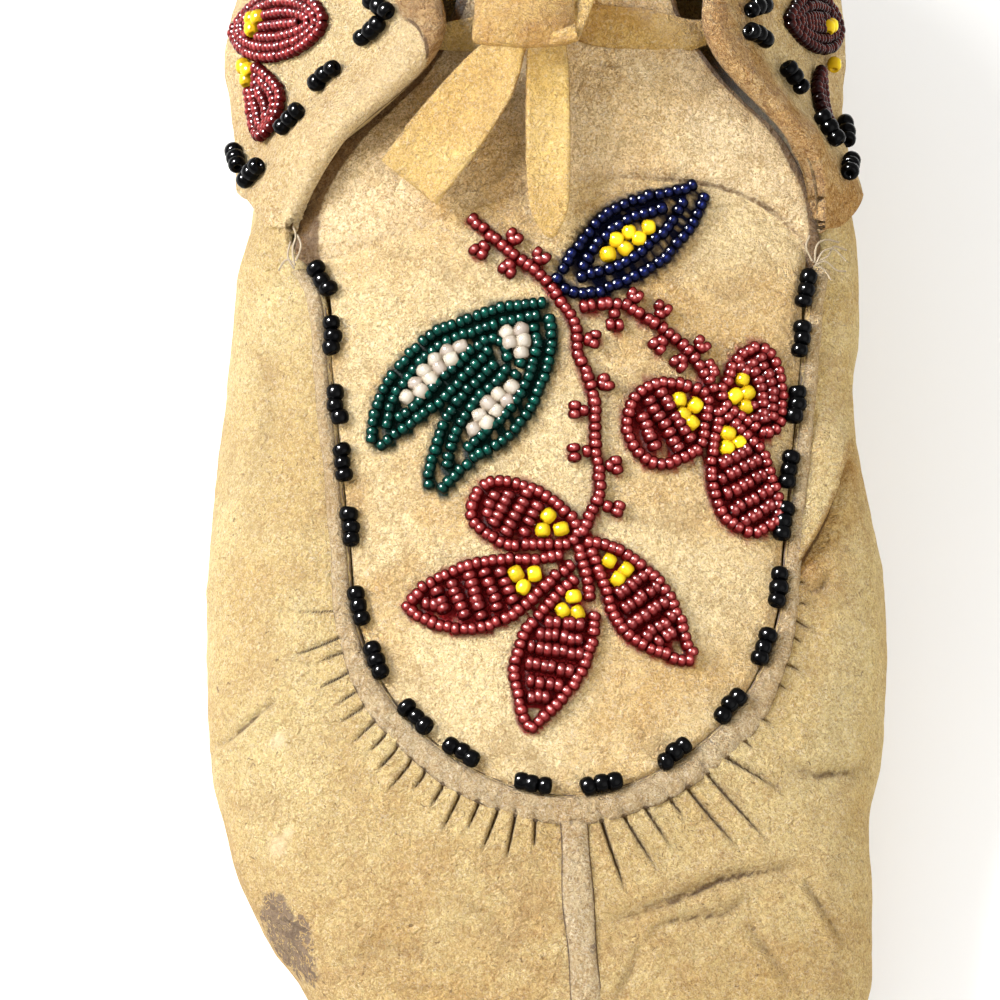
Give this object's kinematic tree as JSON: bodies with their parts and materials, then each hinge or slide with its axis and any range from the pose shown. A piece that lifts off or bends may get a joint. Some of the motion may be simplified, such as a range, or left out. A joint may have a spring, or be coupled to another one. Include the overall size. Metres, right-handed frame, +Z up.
{
  "type": "beaded moccasin",
  "caption": "Right-foot soft-soled moccasin of smoke-tanned hide with a gathered toe, a floral beaded vamp, a turned-down beaded cuff and a hide tie.",
  "frame": {"origin": "under the middle of the shoe's outline, on the floor", "axes": "+Y towards the heel, +X towards the medial side, +Z up"},
  "size_m": [0.1158, 0.2552, 0.1057],
  "materials": {
    "hide_body": "matte",
    "hide_vamp": "matte",
    "hide_cuff": "matte",
    "hide_welt": "matte",
    "thong": "matte",
    "bead_red": "gloss",
    "bead_navy": "gloss",
    "bead_green": "gloss",
    "bead_black": "gloss"
  },
  "bodies": {
    "root": {"bead_branch": "bead_red", "bead_cuff_1": "bead_black", "bead_cuff_2": "bead_black", "bead_cuff_3": "bead_black", "bead_cuff_4": "bead_black", "bead_cuff_5": "bead_black", "bead_cuff_6": "bead_black", "bead_cuff_7": "bead_black", "bead_cuff_8": "bead_black", "bead_cuff_lateral_1": "bead_red", "bead_cuff_lateral_2": "bead_red", "bead_cuff_medial_1": "bead_red", "bead_cuff_medial_2": "bead_red", "bead_flower_large_1": "bead_red", "bead_flower_large_2": "bead_red", "bead_flower_large_3": "bead_red", "bead_flower_large_4": "bead_red", "bead_flower_small_1": "bead_red", "bead_flower_small_2": "bead_red", "bead_flower_small_3": "bead_red", "bead_leaf_blue": "bead_navy", "bead_leaves_green": "bead_green", "bead_seam_lateral_1": "bead_black", "bead_seam_lateral_10": "bead_black", "bead_seam_lateral_2": "bead_black", "bead_seam_lateral_3": "bead_black", "bead_seam_lateral_4": "bead_black", "bead_seam_lateral_5": "bead_black", "bead_seam_lateral_6": "bead_black", "bead_seam_lateral_7": "bead_black", "bead_seam_lateral_8": "bead_black", "bead_seam_lateral_9": "bead_black", "bead_seam_medial_1": "bead_black", "bead_seam_medial_10": "bead_black", "bead_seam_medial_2": "bead_black", "bead_seam_medial_3": "bead_black", "bead_seam_medial_4": "bead_black", "bead_seam_medial_5": "bead_black", "bead_seam_medial_6": "bead_black", "bead_seam_medial_7": "bead_black", "bead_seam_medial_8": "bead_black", "bead_seam_medial_9": "bead_black", "bead_stem": "bead_red", "cuff": "hide_cuff", "lace_crossing": "thong", "lace_end_left": "thong", "lace_end_right": "thong", "lace_knot": "thong", "lace_loop": "thong", "toe_seam_welt": "hide_welt", "tongue": "hide_vamp", "upper_and_sole": "hide_body", "vamp": "hide_vamp", "vamp_welt": "hide_welt"}
  },
  "joints": []
}
